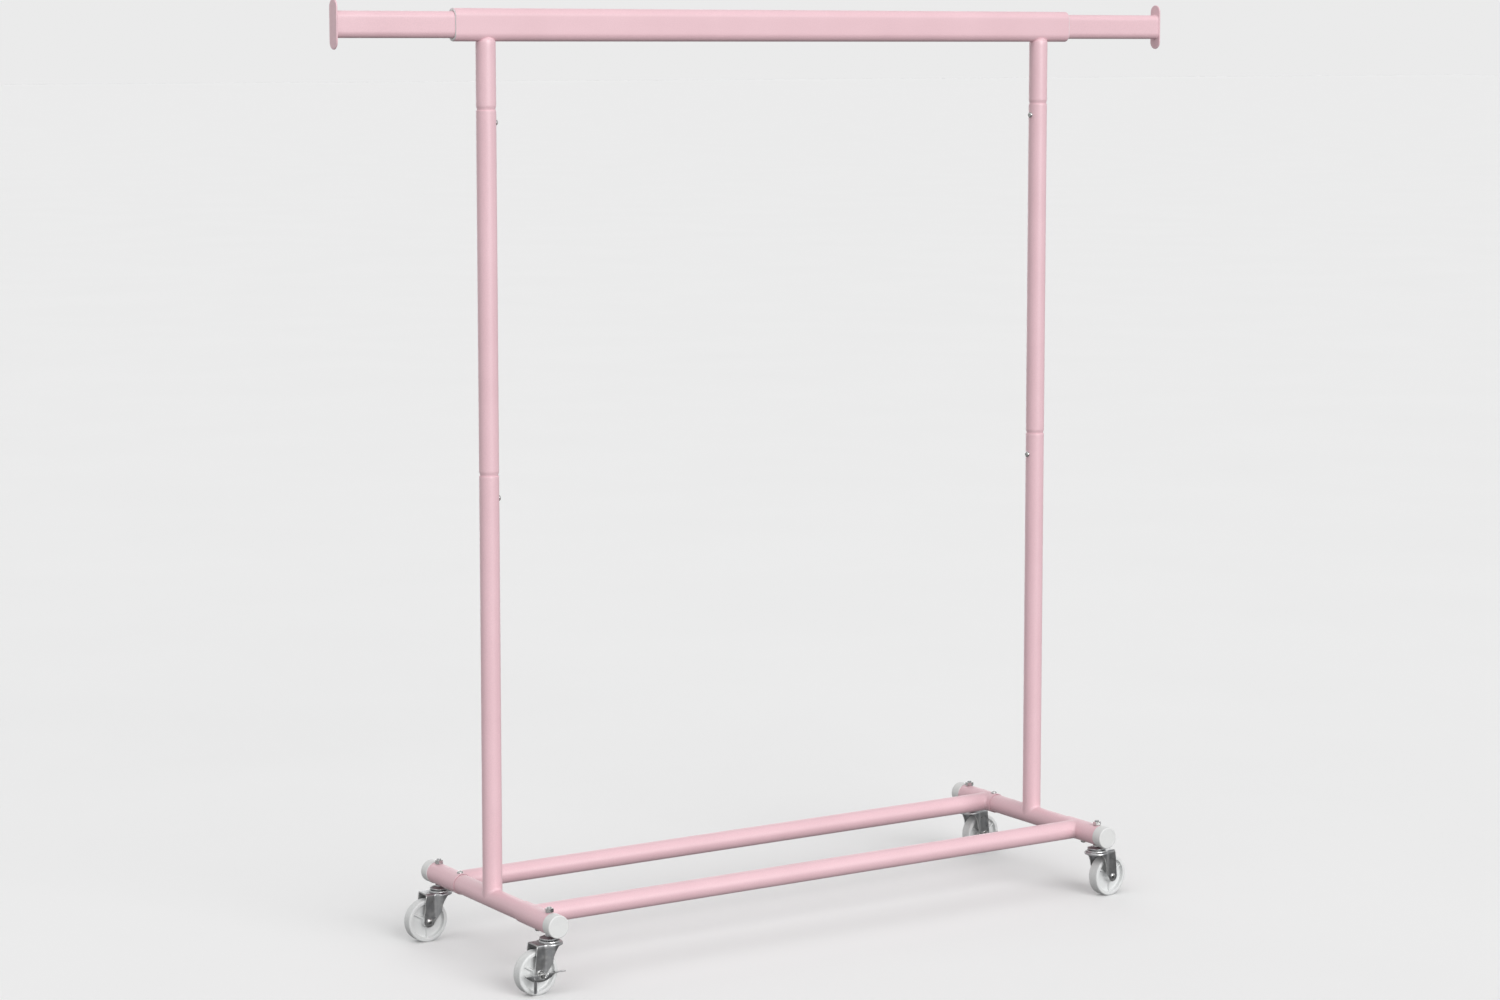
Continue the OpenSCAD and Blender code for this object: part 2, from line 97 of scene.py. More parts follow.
# Scuffs start this far from the centre of a wheel, and reach full strength this much further out
TREAD_START, TREAD_FADE = 34.5, 3.0
AXLE_Z = WHEEL_R
FORK_OUT, FORK_T = 15.4, 2.2
FORK_TOP = 84.5
FORK_END_R = 10.0
CROWN_R = 22.0
NUT_SEAT_Z = FOOT_Z + CORNER_R
BALL_PITCH_R, BALL_Z, GROOVE_R = 12.5, 87.5, 2.1

# Brake lever, measured from the centre of the wheel
TRAY_X, TRAY_R, TRAY_DROP, TRAY_HALF = -4.0, 38.0, 11.3, 28.5
BRAKE_BAR_X = -14.6
LEVER_T = 1.4
PIN_Y = 20.0
EAR_X, EAR_R, EAR_T = 4.6, 2.35, 1.6
# The outer wall is cut away by a round scoop above the axle, and its ends taper
WALL_TOP, WALL_FLAT, TAPER = 2.0, 22.0, 6.5
SCOOP_R, SCOOP_Z = 10.5, 4.5

LEFT, RIGHT, FRONT, BACK = -1, 1, -1, 1
SIDES = {"left": LEFT, "right": RIGHT}
DEPTHS = {"front": FRONT, "back": BACK}
# corner: side, depth, swivel angle in degrees, side of the brake (0 is none)
CORNERS = {
    "front_left": (LEFT, FRONT, 3.0, -1),
    "front_right": (RIGHT, FRONT, 186.7, 0),
    "back_left": (LEFT, BACK, 0.0, 0),
    "back_right": (RIGHT, BACK, 183.0, 1),
}

ALONG_X = Matrix.Rotation(math.radians(90), 4, "Y")
ALONG_Y = Matrix.Rotation(math.radians(-90), 4, "X")


def moved(x=0.0, y=0.0, z=0.0):
    return Matrix.Translation((x, y, z))


def turned(degrees, axis="Z"):
    return Matrix.Rotation(math.radians(degrees), 4, axis)


def flipped(x=1, y=1, z=1):
    return Matrix.Diagonal((x, y, z, 1))


# ---------- shapes ----------


class Shape:
    """Vertices and faces of one piece, in millimetres."""

    def __init__(self):
        self.verts = []
        self.faces = []

    def skin(self, rings, loop=False, caps=(False, False), open_rings=False):
        """Joins rings of equal length, or of a single point, and can close the first and last ring."""
        starts = []
        for ring in rings:
            starts.append(len(self.verts))
            self.verts.extend(Vector(p) for p in ring)
        pairs = [(i, i + 1) for i in range(len(rings) - 1)]
        if loop:
            pairs.append((len(rings) - 1, 0))
        for a, b in pairs:
            count_a, count_b = len(rings[a]), len(rings[b])
            count = max(count_a, count_b)
            first_a, first_b = starts[a], starts[b]
            for i in range(count - 1 if open_rings else count):
                j = (i + 1) % count
                if count_a == 1:
                    self.faces.append((first_a, first_b + j, first_b + i))
                elif count_b == 1:
                    self.faces.append((first_a + i, first_a + j, first_b))
                else:
                    self.faces.append((first_a + i, first_a + j, first_b + j, first_b + i))
        for k, wanted in zip((0, len(rings) - 1), caps):
            if wanted:
                self.faces.append(tuple(range(starts[k], starts[k] + len(rings[k]))))
        return self

    def add(self, other, matrix=Matrix.Identity(4)):
        first = len(self.verts)
        self.verts.extend(matrix @ v for v in other.verts)
        self.faces.extend(tuple(first + i for i in face) for face in other.faces)
        return self


def lerp(a, b, t):
    return a + (b - a) * t


def spaced(a, b, count):
    return [lerp(a, b, i / (count - 1)) for i in range(count)]


def rounded(points, radii, closed=True, steps=4):
    """The corners of a flat outline replaced by arcs. radii is one number, or one for each corner."""
    count = len(points)
    if not isinstance(radii, (list, tuple)):
        radii = [radii] * count
    result = []
    for i, (point, radius) in enumerate(zip(points, radii)):
        corner = Vector(point)
        if radius <= 0 or (not closed and i in (0, count - 1)):
            result.append(corner)
            continue
        before, after = Vector(points[i - 1]), Vector(points[(i + 1) % count])
        d1, d2 = (before - corner), (after - corner)
        room = 0.49 * min(d1.length, d2.length)
        d1.normalize()
        d2.normalize()
        angle = d1.angle(d2)
        if angle > math.pi - 0.02:
            result.append(corner)
            continue
        cut = min(radius / math.tan(angle / 2), room)
        real = cut * math.tan(angle / 2)
        centre = corner + (d1 + d2).normalized() * (real / math.sin(angle / 2))
        start, end = corner + d1 * cut - centre, corner + d2 * cut - centre
        sweep = start.angle(end)
        for k in range(steps + 1):
            t = k / steps
            blend = (start * math.sin((1 - t) * sweep) + end * math.sin(t * sweep)) / math.sin(sweep)
            result.append(centre + blend)
    return result


def supported(points, closed=True, near=0.9, long=5.0):
    """Extra points close to the ends of long straight runs, which keep the shading flat."""
    result = []
    count = len(points)
    for i, point in enumerate(points):
        a = Vector(point)
        result.append(a)
        if i == count - 1 and not closed:
            break
        b = Vector(points[(i + 1) % count])
        length = (b - a).length
        if length > long:
            result.append(a.lerp(b, near / length))
            result.append(a.lerp(b, 1 - near / length))
    return result


def around(count=96):
    """Angles evenly spaced round a circle."""
    return [math.tau * i / count for i in range(count)]


def circle(radius, z, count=96):
    """Points round the Z axis, or the one point on the axis when the radius is nothing."""
    if radius < 1e-6:
        return [(0, 0, z)]
    return [(radius * math.cos(a), radius * math.sin(a), z) for a in around(count)]


def rounded_rectangle(half_width, half_height, radius, steps):
    corners = [(-half_width, -half_height), (half_width, -half_height)]
    corners += [(half_width, half_height), (-half_width, half_height)]
    return rounded(corners, radius, steps=steps)


def revolve(profile, count=96, closed=True, radii=0.0, steps=4):
    """A turned piece. The profile is (radius, height), with its corners rounded by radii."""
    outline = supported(rounded(profile, radii, closed, steps), closed)
    return Shape().skin([circle(r, z, count) for r, z in outline], loop=closed)


def oval(height, width, x, arc=30, flat=5):
    """A flat oval round the rail's axis, in the plane at x."""
    r, lift = width / 2, (height - width) / 2
    points = []
    for sign in (1, -1):
        for i in range(arc + 1):
            a = math.pi * i / arc
            points.append((x, sign * r * math.cos(a), RAIL_Z + sign * (lift + r * math.sin(a))))
        y = -sign * r
        for i in range(1, flat):
            points.append((x, y, RAIL_Z + sign * lerp(lift, -lift, i / flat)))
    return points


def oval_sweep(height, width, profile, closed=True, radii=0.0, caps=(False, False), steps=4):
    """A flat-oval piece. The profile is (inset from the full oval, x), with rounded corners."""
    outline = supported(rounded(profile, radii, closed, steps), closed)
    rings = [oval(height - 2 * inset, width - 2 * inset, x) for inset, x in outline]
    return Shape().skin(rings, loop=closed, caps=caps)


def saddle(radius, angle, other):
    """How far from the axis of a cross tube a tube of this radius ends, at one angle round it."""
    reach = min(abs(radius * math.cos(angle)), other)
    return math.sqrt(max(other * other - reach * reach, 0.0))


def ripple(angle, count, seed):
    """A slightly uneven wave, for weld beads."""
    finer = count * 0.618 // 1 + 3
    return 0.65 * math.sin(count * angle + seed) + 0.35 * math.sin(finer * angle + 2.3 * seed)


def weld(radius, other, leg, seed, count=168, steps=6):
    """A fillet weld where a tube along +Z stands on a cross tube along Y with its axis at the origin."""
    rings = [[] for _ in range(steps + 2)]
    for a in around(count):
        c, s = math.cos(a), math.sin(a)
        room = 0.85 * (other / max(abs(c), 1e-3) - radius)
        size = max(min(leg, room), 0.05) * (1 + 0.07 * ripple(a, 34, seed))
        base = saddle(radius, a, other)
        high = Vector(((radius - 0.06) * c, (radius - 0.06) * s, base + 1.15 * size))
        reach = radius + size
        wide = Vector((reach * c, reach * s, saddle(reach, a, other) - 0.06))
        corner = Vector((radius * c, radius * s, base))
        middle = corner.lerp((high + wide) / 2, 0.72 + 0.10 * ripple(a, 34, seed + 1))
        for k in range(steps + 1):
            t = k / steps
            rings[k].append(high * (1 - t) ** 2 + middle * (2 * t * (1 - t)) + wide * t ** 2)
        rings[-1].append(Vector(((radius - 0.7) * c, (radius - 0.7) * s, base - 0.8)))
    return Shape().skin(rings, loop=True)


# ---------- materials ----------


class Finish:
    """A node material built up from noise, ramps and bump."""

    def __init__(self, name):
        self.material = bpy.data.materials.new(name)
        self.material.use_nodes = True
        self.tree = self.material.node_tree
        self.tree.nodes.clear()
        self.coords = self.add("ShaderNodeTexCoord").outputs["Object"]

    def add(self, kind, inputs=None, **settings):
        node = self.tree.nodes.new(kind)
        for key, value in settings.items():
            setattr(node, key, value)
        for key, value in (inputs or {}).items():
            if isinstance(value, bpy.types.NodeSocket):
                self.tree.links.new(value, node.inputs[key])
            else:
                node.inputs[key].default_value = value
        return node

    def noise(self, scale, detail=3.0, roughness=0.55, stretch=(1, 1, 1)):
        place = self.add("ShaderNodeMapping", {"Vector": self.coords, "Scale": stretch})
        return self.add(
            "ShaderNodeTexNoise",
            {"Vector": place.outputs[0], "Scale": scale, "Detail": detail, "Roughness": roughness},
        ).outputs["Fac"]

    def ramp(self, value, stops):
        node = self.add("ShaderNodeValToRGB", {"Fac": value})
        elements = node.color_ramp.elements
        while len(elements) < len(stops):
            elements.new(0.5)
        for element, (position, colour) in zip(elements, stops):
            element.position = position
            element.color = (*colour, 1)
        return node.outputs["Color"]

    def mix(self, factor, a, b, mode="MIX"):
        node = self.add("ShaderNodeMix", {"Factor": factor}, data_type="RGBA", blend_type=mode)
        for index, value in ((6, a), (7, b)):
            if isinstance(value, bpy.types.NodeSocket):
                self.tree.links.new(value, node.inputs[index])
            else:
                node.inputs[index].default_value = (*value, 1)
        return node.outputs[2]

    def math(self, operation, a, b=0.0):
        node = self.add("ShaderNodeMath", {0: a, 1: b}, operation=operation)
        return node.outputs[0]

    def spread(self, value, low, high, out_low, out_high):
        return self.add(
            "ShaderNodeMapRange",
            {"Value": value, "From Min": low, "From Max": high, "To Min": out_low, "To Max": out_high},
        ).outputs["Result"]

    def edges(self, low, high):
        """1 on sharp outer edges, falling to 0 on flat faces."""
        point = self.add("ShaderNodeNewGeometry").outputs["Pointiness"]
        return self.spread(point, low, high, 0.0, 1.0)

    def bump(self, height, distance, normal=None):
        inputs = {"Height": height, "Distance": distance, "Strength": 1.0}
        if normal is not None:
            inputs["Normal"] = normal
        return self.add("ShaderNodeBump", inputs).outputs["Normal"]

    def shade(self, **sockets):
        named = {key.replace("_", " "): value for key, value in sockets.items()}
        shader = self.add("ShaderNodeBsdfPrincipled", named)
        output = self.add("ShaderNodeOutputMaterial")
        self.tree.links.new(shader.outputs[0], output.inputs["Surface"])
        return self.material


def pink_coat():
    """Powder coat: soft mottling, fine orange peel, and a thinner, paler coat on sharp edges."""
    f = Finish("pink_coat")
    tone = f.ramp(f.noise(7.0, 3), [(0.32, (0.775, 0.512, 0.560)), (0.68, (0.815, 0.545, 0.595))])
    speck = f.spread(f.noise(620.0, 2), 0.35, 0.65, 0.965, 1.03)
    grain = f.add("ShaderNodeCombineColor", {"Red": speck, "Green": speck, "Blue": speck}).outputs[0]
    coat = f.mix(1.0, tone, grain, "MULTIPLY")
    worn = f.math("MULTIPLY", f.edges(0.515, 0.60), f.spread(f.noise(55.0, 4), 0.42, 0.66, 0.0, 0.55))
    colour = f.mix(worn, coat, (0.87, 0.66, 0.70))
    peel = f.bump(f.noise(430.0, 2, 0.5), 30 * MICRON)
    fine = f.bump(f.noise(1900.0, 2, 0.5), 6 * MICRON, normal=peel)
    return f.shade(
        Base_Color=colour,
        Specular_IOR_Level=0.9,
        Roughness=f.spread(f.noise(24.0, 4), 0.3, 0.7, 0.33, 0.43),
        Normal=fine,
    )


def white_plastic():
    """Moulded caps and bushes: faintly clouded, with light scuffs and a fine spark-eroded surface."""
    f = Finish("white_plastic")
    tone = f.ramp(f.noise(60.0, 4), [(0.3, (0.715, 0.72, 0.715)), (0.7, (0.745, 0.75, 0.742))])
    scuff = f.spread(f.noise(260.0, 5, 0.7, stretch=(1, 1, 0.3)), 0.60, 0.74, 0.0, 0.22)
    colour = f.mix(scuff, tone, (0.62, 0.62, 0.61))
    skin = f.bump(f.noise(2300.0, 2), 10 * MICRON)
    return f.shade(
        Base_Color=colour,
        Roughness=f.spread(f.noise(180.0, 4), 0.3, 0.7, 0.36, 0.50),
        Normal=f.bump(f.noise(120.0, 3), 25 * MICRON, normal=skin),
    )


def nylon():
    """Wheels: milky nylon with flow marks, and grey scuffs on the tread and outer edges."""
    f = Finish("nylon")
    tone = f.ramp(f.noise(70.0, 5), [(0.28, (0.715, 0.725, 0.725)), (0.72, (0.765, 0.775, 0.77))])
    tread = f.add("ShaderNodeAttribute", attribute_name="tread").outputs["Fac"]
    marks = f.spread(f.noise(240.0, 6, 0.7), 0.42, 0.66, 0.0, 0.30)
    colour = f.mix(f.math("MULTIPLY", tread, marks), tone, (0.50, 0.50, 0.49))
    ridge = f.bump(f.noise(900.0, 3), 15 * MICRON)
    return f.shade(
        Base_Color=colour,
        Roughness=f.spread(tread, 0.0, 1.0, 0.36, 0.55),
        Normal=f.bump(f.noise(95.0, 3), 40 * MICRON, normal=ridge),
    )


def zinc_steel():
    """Zinc-plated pressed steel: cloudy passivation, drawing lines, and a painted highlight that lightens
    every sharp edge.
    """
    f = Finish("zinc_steel")
    cloud = f.ramp(
        f.noise(90.0, 4, 0.6),
        [(0.30, (0.43, 0.44, 0.455)), (0.52, (0.51, 0.515, 0.52)), (0.74, (0.60, 0.60, 0.59))],
    )
    streak = f.spread(f.noise(420.0, 3, 0.6, stretch=(1, 1, 0.07)), 0.40, 0.68, 0.0, 0.28)
    plate = f.mix(streak, cloud, (0.36, 0.365, 0.375))
    # Painted highlight: sharp edges and bends get a paler base colour, standing in for light catching them
    colour = f.mix(f.edges(0.53, 0.66), plate, (0.78, 0.78, 0.77))
    lines = f.bump(f.noise(1500.0, 3, 0.6, stretch=(1, 1, 0.05)), 8 * MICRON)
    return f.shade(
        Base_Color=colour,
        Metallic=1.0,
        Roughness=f.spread(f.noise(150.0, 5), 0.3, 0.7, 0.27, 0.38),
        Normal=f.bump(f.noise(60.0, 3), 60 * MICRON, normal=lines),
    )


def bright_steel():
    """Nickel-bright fasteners, with fine turning marks and small dull patches."""
    f = Finish("bright_steel")
    tone = f.ramp(f.noise(260.0, 4), [(0.3, (0.55, 0.55, 0.545)), (0.7, (0.69, 0.69, 0.68))])
    dull = f.spread(f.noise(500.0, 5, 0.7), 0.52, 0.72, 0.0, 0.5)
    return f.shade(
        Base_Color=f.mix(dull, tone, (0.34, 0.345, 0.35)),
        Metallic=1.0,
        Roughness=f.spread(f.noise(350.0, 4), 0.3, 0.7, 0.14, 0.32),
        Normal=f.bump(f.noise(1400.0, 2, stretch=(1, 1, 3)), 6 * MICRON),
    )


FINISHES = {
    "pink_coat": pink_coat(),
    "white_plastic": white_plastic(),
    "nylon": nylon(),
    "zinc_steel": zinc_steel(),
    "bright_steel": bright_steel(),
}


# ---------- putting a piece in the scene ----------


def stand_for(node, shape, slot, sharp=38):
    """Makes a piece that replaces one CAD node and rides on its body."""
    data = bmesh.new()
    verts = [data.verts.new(v * MM) for v in shape.verts]
    for face in shape.faces:
        data.faces.new([verts[i] for i in face])
    bmesh.ops.remove_doubles(data, verts=data.verts, dist=1e-7)
    bmesh.ops.recalc_face_normals(data, faces=data.faces)
    mesh = bpy.data.meshes.new(node + "_mesh")
    data.to_mesh(mesh)
    data.free()
    mesh.shade_smooth()
    mesh.set_sharp_from_angle(angle=math.radians(sharp))
    mesh.materials.append(FINISHES[slot])
    piece = bpy.data.objects.new(node + "_skin", mesh)
    bpy.context.scene.collection.objects.link(piece)
    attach(piece, frame["nodes"][node]["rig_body"])
    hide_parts(node)
    return piece


def thick_sheet(sheet, thickness, bevel, strips=False):
    """The sheet thickened inwards, with its edges broken. Strips are joined first, with their top upward."""
    data = bmesh.new()
    verts = [data.verts.new(v) for v in sheet.verts]
    for face in sheet.faces:
        data.faces.new([verts[i] for i in face])
    if strips:
        bmesh.ops.remove_doubles(data, verts=data.verts, dist=1e-3)
    bmesh.ops.recalc_face_normals(data, faces=data.faces)
    if strips and max(data.faces, key=lambda f: f.calc_center_median().z).normal.z < 0:
        bmesh.ops.reverse_faces(data, faces=data.faces)
    mesh = bpy.data.meshes.new("sheet")
    data.to_mesh(mesh)
    data.free()
    holder = bpy.data.objects.new("sheet", mesh)
    bpy.context.scene.collection.objects.link(holder)
    thick = holder.modifiers.new("sheet", "SOLIDIFY")
    thick.thickness = thickness
    thick.offset = -1
    thick.use_even_offset = True
    edge = holder.modifiers.new("edge", "BEVEL")
    edge.width = bevel
    edge.segments = 3
    edge.limit_method = "ANGLE"
    edge.angle_limit = math.radians(50)
    bpy.context.view_layer.update()
    solid = holder.evaluated_get(bpy.context.evaluated_depsgraph_get()).to_mesh()
    shape = Shape()
    shape.verts = [v.co.copy() for v in solid.vertices]
    shape.faces = [tuple(p.vertices) for p in solid.polygons]
    bpy.data.objects.remove(holder)
    return shape


# ---------- rail ----------


def rail_sleeve():
    end = SLEEVE_END
    profile = [(0, -end), (WALL, -end), (WALL, end), (0, end)]
    return oval_sweep(SLEEVE_H, SLEEVE_W, profile, radii=0.5)


def inside_rail_wall(y):
    """Height of the middle of the rail's lower wall, which hides the top of a stub."""
    middle = (SLEEVE_W - WALL) / 2
    return RAIL_BOTTOM + SLEEVE_W / 2 - math.sqrt(max(middle * middle - y * y, 0.0))


def rail_stub(side):
    """Upper tube stub: a reduced lower end, and a top that closes on the rail in a smooth arch."""
    joint = UPPER_JOINT_Z
    start, shoulder = RAIL_BOTTOM - 6.0, 3.2
    bore_end = RAIL_BOTTOM - 30
    # Smaller values for the sides that face along the rail, larger ones for the front and back
    draw_in, rise = (1.6, 6.5), (3.1, 9.9)
    rings = [circle(r, z) for r, z in supported(reduced_end(joint) + [(TUBE_R, start)], closed=False)]
    steps = 10
    for k in range(1, steps + 1):
        a = math.pi / 2 * k / steps
        ring = []
        for x, y, _ in circle(1.0, 0):
            r = TUBE_R - lerp(*draw_in, abs(y)) * (1 - math.cos(a))
            z = start + shoulder + lerp(*rise, abs(y)) * math.sin(a)
            ring.append((r * x, r * y, min(z, inside_rail_wall(r * y))))
        rings.append(ring)
    for r in (8.0, 6.0, 4.0, 2.0):
        rings.append([(r * x, r * y, inside_rail_wall(r * y)) for x, y, _ in circle(1.0, 0)])
    rings.append([(0, 0, inside_rail_wall(0))])
    bore = [(SPIGOT_R - WALL, bore_end), (SPIGOT_R - WALL, joint - SPIGOT_LEN)]
    rings = [[(0, 0, bore_end)]] + [circle(r, z) for r, z in bore] + rings
    return Shape().add(Shape().skin(rings), moved(side * UPRIGHT_X))


def reduced_end(joint):
    """The outside of a tube end drawn down to a spigot, from its lower edge up to full width."""
    outside = [(SPIGOT_R - 0.5, joint - SPIGOT_LEN), (SPIGOT_R, joint - SPIGOT_LEN + 0.5)]
    outside.append((SPIGOT_R, joint + 0.6))
    for i in range(1, 11):
        t = i / 10
        ease = t * t * (3 - 2 * t)
        outside.append((lerp(SPIGOT_R, TUBE_R, ease), joint + 0.6 + (NECK_LEN + 0.6) * t))
    return outside


def rail_bush(side):
    """Plastic bush: a sleeve between rail and rod, with a thin lip over the end of the rail."""
    mouth = (ROD_H + 2 * SLIDE_GAP, ROD_W + 2 * SLIDE_GAP)
    body = (SLEEVE_H - 2 * WALL - 0.1, SLEEVE_W - 2 * WALL - 0.1)
    lip = (SLEEVE_H - 0.8, SLEEVE_W - 0.8)
    inner, seat, outer = SLEEVE_END - BUSH_LEN, SLEEVE_END + 0.05, SLEEVE_END + BUSH_LIP
    stations = [
        (mouth, 0.0, inner + 0.4), (mouth, 0.3, inner), (body, -0.3, inner), (body, 0.0, inner + 0.4),
        (body, 0.0, seat - 0.6), (body, 0.0, seat), (lip, -0.4, seat), (lip, 0.0, seat + 0.2),
        (lip, 0.0, outer - 0.4), (lip, -0.12, outer - 0.12), (lip, -0.4, outer), (mouth, 0.6, outer),
        (mouth, 0.2, outer - 0.12), (mouth, 0.0, outer - 0.5), (mouth, 0.0, outer - 1.4),
    ]
    rings = [oval(size[0] + 2 * grow, size[1] + 2 * grow, x) for size, grow, x in stations]
    return Shape().add(Shape().skin(rings, loop=True), flipped(x=side))


def rail_rod(side):
    end = PLATE_X - PLATE_T
    profile = [(0, ROD_START), (WALL, ROD_START), (WALL, end), (0, end)]
    rod = oval_sweep(ROD_H, ROD_W, profile, radii=[0.5, 0.5, 0, 0])
    leg = 2.0
    corner = [(0.1, end - leg), (-0.28 * leg, end - 0.42 * leg), (-leg, end + 0.1), (0.6, end + 0.1)]
    rod.add(oval_sweep(ROD_H, ROD_W, corner, radii=[0, 2.4, 0, 0]))
    return Shape().add(rod, flipped(x=side))


def end_plate(side):
    inner, outer = PLATE_X - PLATE_T, PLATE_X
    profile = [(3.0, inner), (0, inner), (0, outer), (3.0, outer)]
    plate = oval_sweep(PLATE_H, PLATE_W, profile, closed=False, radii=[0, 0.9, 0.9, 0], caps=(True, True))
    return Shape().add(plate, flipped(x=side))


# ---------- uprights ----------


def upright_mid(side):
    lower, upper = MIDDLE_JOINT_Z, UPPER_JOINT_Z
    outside = reduced_end(lower)
    outside += [(TUBE_R, upper - 0.6), (TUBE_R - 0.25, upper - 0.15), (TUBE_R - 0.6, upper)]
    inside = [(TUBE_R - WALL, upper - 0.3), (TUBE_R - WALL, lower + 9), (SPIGOT_R - WALL, lower)]
    inside.append((SPIGOT_R - WALL, lower - SPIGOT_LEN))
    tube = Shape().skin([circle(r, z) for r, z in supported(outside + inside)], loop=True)
    return Shape().add(tube, moved(side * UPRIGHT_X))


def upright_lower(side):
    top = MIDDLE_JOINT_Z
    clear = FOOT_Z + TUBE_R + 12

    def foot_ring(r, lift):
        return [(r * math.cos(a), r * math.sin(a), FOOT_Z + saddle(r, a, TUBE_R) + lift) for a in around()]

    bore = TUBE_R - WALL
    mouth = [(TUBE_R, top - 4), (TUBE_R, top), (bore, top), (bore, top - 4)]
    edge = rounded(mouth, [0, 0.5, 0.5, 0], closed=False)
    rings = [foot_ring(TUBE_R, -0.2), foot_ring(TUBE_R, 3.0), circle(TUBE_R, clear)]
    rings += [circle(r, z) for r, z in edge]
    rings += [circle(bore, clear), foot_ring(bore, 0.0)]
    tube = Shape().skin(rings, loop=True)
    tube.add(weld(TUBE_R, TUBE_R, WELD_LEG, 1.0 + side), moved(z=FOOT_Z))
    return Shape().add(tube, moved(side * UPRIGHT_X))


def hexagon_radius(angle, flats):
    part = (angle % (math.pi / 3)) - math.pi / 6
    return flats / 2 / math.cos(part)


def button_screw():
    """Button-head screw on +X: a low dome with a hexagon socket, and its shank towards -X."""
    count = 72
    angles = around(count)

    def hexagon(flats, z):
        polar = [(hexagon_radius(a, flats), a) for a in angles]
        return [(r * math.cos(a), r * math.sin(a), z) for r, a in polar]

    shank = [(2.4, -12.0), (3.0, -11.3), (3.0, -1.4)]
    head = [(5.0, -1.2), (5.25, -0.95), (5.3, 0.0), (5.3, 0.45)]
    rings = [[(0, 0, -12.0)]] + [circle(r, z, count) for r, z in shank + head]
    for k in range(1, 9):
        a = math.pi / 2 * k / 8
        rings.append(circle(lerp(2.7, 5.3, math.cos(a)), 0.45 + 2.85 * math.sin(a), count))
    rings += [hexagon(4.25, 3.27), hexagon(4.0, 3.05), hexagon(4.0, 1.5), [(0, 0, 1.1)]]
    return Shape().add(Shape().skin(rings), ALONG_X)


def upright_screws():
    group = Shape()
    for side in SIDES.values():
        for z in (UPPER_SCREW_Z, MIDDLE_SCREW_Z):
            towards = flipped(x=-side)
            group.add(button_screw(), moved(side * UPRIGHT_X, 0, z) @ towards @ moved(TUBE_R))
    return group


# ---------- base ----------


def foot_tube(side):
    end = FOOT_TUBE_END
    profile = [(TUBE_R, -end), (TUBE_R - WALL, -end), (TUBE_R - WALL, end), (TUBE_R, end)]
    return Shape().add(revolve(profile, radii=0.5), moved(side * UPRIGHT_X, 0, FOOT_Z) @ ALONG_Y)


def base_bar(depth):
    """Bar between two corner sleeves, with its ends cut to fit round them and welded."""
    straight = 500
    to_bar = Matrix(((0, 0, 1, 0), (0, 1, 0, 0), (1, 0, 0, 0), (0, 0, 0, 1)))

    def end_ring(r, sign, inset):
        ring = []
        for a in around():
            reach = UPRIGHT_X - saddle(r, a, CORNER_R) - inset
            ring.append((r * math.cos(a), r * math.sin(a), sign * reach))
        return ring

    bore = TUBE_R - WALL
    rings = [end_ring(TUBE_R, -1, 0), end_ring(TUBE_R, -1, 4)]
    rings += [circle(TUBE_R, -straight), circle(TUBE_R, straight)]
    rings += [end_ring(TUBE_R, 1, 4), end_ring(TUBE_R, 1, 0), end_ring(bore, 1, 0), end_ring(bore, -1, 0)]
    bar = Shape().skin(rings, loop=True)
    for sign in (-1, 1):
        bead = weld(TUBE_R, CORNER_R, WELD_LEG, 3.0 + sign + 2 * depth)
        bar.add(bead, moved(z=sign * UPRIGHT_X) @ flipped(z=-sign))
    return Shape().add(bar, moved(0, depth * BAR_Y, FOOT_Z) @ to_bar)


def corner_sleeve(side, depth):
    """Sleeve with a rolled line round it, drawn along +Y."""
    groove = [(CORNER_R, BEAD_Y - 1.3), (CORNER_R - 0.42, BEAD_Y), (CORNER_R, BEAD_Y + 1.3)]
    bore = CORNER_R - WALL
    profile = [(CORNER_R, CORNER_START)] + groove
    profile += [(CORNER_R, CORNER_END), (bore, CORNER_END), (bore, CORNER_START)]
    sleeve = revolve(profile, radii=[0.55, 0.5, 0.5, 0.5, 0.4, 0.4, 0.4])
    return Shape().add(sleeve, moved(side * UPRIGHT_X, 0, FOOT_Z) @ flipped(y=depth) @ ALONG_Y)


def end_cap(side, depth):
    """Push-on cap: a skirt round the sleeve, a rounded rim, and a faint ring on a slightly hollow face."""
    outline = [
        (0, 222.4), (18.05, 222.4), (18.05, 204.0), (18.7, 204.0), (19.0, 204.5), (19.0, 225.0),
        (15.4, 225.0), (15.1, 224.75), (14.6, 224.75), (14.3, 224.95), (0, 224.8),
    ]
    cap = revolve(outline, closed=False, radii=[0, 0, 0, 0.2, 0.2, 1.9, 0.3, 0.1, 0.1, 0.3, 0], steps=7)
    plug = [(15.0, 203.0), (16.2, 203.0), (16.6, 204.0), (16.6, 222.5), (15.0, 222.5)]
    cap.add(revolve(plug, radii=[0.3, 0.3, 0.3, 0, 0]))
    return Shape().add(cap, moved(side * UPRIGHT_X, 0, FOOT_Z) @ flipped(y=depth) @ ALONG_Y)


def foot_screws():
    group = Shape()
    for side in SIDES.values():
        corner = moved(side * UPRIGHT_X, 0, FOOT_Z)
        for y in (-FOOT_SCREW_Y, FOOT_SCREW_Y):
            group.add(button_screw(), corner @ moved(y=y) @ turned(90, "Y") @ moved(CORNER_R))
        group.add(button_screw(), corner @ moved(y=TOP_SCREW_Y) @ turned(-90, "Y") @ moved(CORNER_R))
    return group


# ---------- casters ----------


def at_caster(corner):
    side, depth, yaw, _ = CORNERS[corner]
    return moved(side * UPRIGHT_X, depth * CASTER_Y) @ turned(yaw)


def at_axle(corner):
    return at_caster(corner) @ moved(-TRAIL, 0, AXLE_Z)


